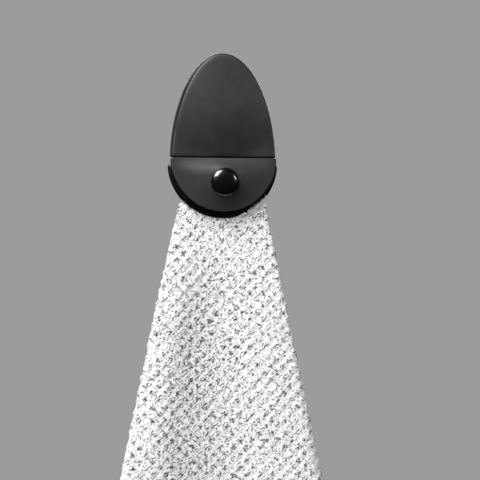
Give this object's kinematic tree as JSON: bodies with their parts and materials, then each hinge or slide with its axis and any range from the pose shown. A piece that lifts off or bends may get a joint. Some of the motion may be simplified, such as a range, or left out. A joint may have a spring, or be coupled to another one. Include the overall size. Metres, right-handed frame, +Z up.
{
  "type": "golf towel",
  "caption": "Waffle-weave golf towel hung by its corner from an egg-shaped silicone tab with a magnet pod, a crease hinge and a snap that lets the towel come off.",
  "frame": {"origin": "middle of the flat magnet face on the back of the pod", "axes": "+Z up, from the towel to the top of the pod; +Y out of the magnet face, towards what it holds to; -Y is the front; +X is to the right seen from the front"},
  "size_m": [0.1902, 0.0426, 0.6131],
  "materials": {
    "silicone": "matte",
    "cover": "matte",
    "patch": "matte",
    "enamel": "gloss",
    "steel": "satin",
    "nickel": "polished",
    "spring": "satin",
    "waffle": "matte",
    "hem": "matte"
  },
  "bodies": {
    "magnet_pod": {"pod_front_skin": "silicone", "pod_back_cover": "cover", "magnet_upper": "nickel", "magnet_left": "nickel", "magnet_right": "nickel", "keeper_plate": "steel"},
    "snap_flap": {"flap_skin": "silicone", "snap_cap": "enamel", "snap_socket": "enamel"},
    "snap_ring": {"socket_spring": "spring"},
    "towel_head": {"snap_stud": "enamel", "stud_rivet": "enamel", "front_patch": "patch", "back_patch": "patch", "towel_corner": "waffle"},
    "towel_drop": {"towel_cloth": "waffle", "hem_upper_left": "hem", "hem_upper_right": "hem", "hem_lower_left": "hem", "hem_lower_right": "hem"}
  },
  "joints": [
    {"name": "tab_hinge", "type": "hinge", "parent": "magnet_pod", "child": "snap_flap", "pos_m": [0, -0.0071, -0.028], "axis": [-1, 0, 0], "range_deg": [0, 100], "stiffness_Nm_per_rad": 0.03, "springref_deg": -20.05},
    {"name": "snap_swivel", "type": "hinge", "parent": "snap_flap", "child": "snap_ring", "pos_m": [0, -0.0053, -0.0414], "axis": [0, 1, 0], "range_deg": [-5, 5]},
    {"name": "snap_pull", "type": "slide", "parent": "snap_ring", "child": "towel_head", "axis": [0, 1, 0], "range_m": [0, 0.012]},
    {"name": "towel_swing", "type": "hinge", "parent": "towel_head", "child": "towel_drop", "pos_m": [0, -0.003, -0.0634], "axis": [-1, 0, 0], "range_deg": [-60, 60]}
  ]
}
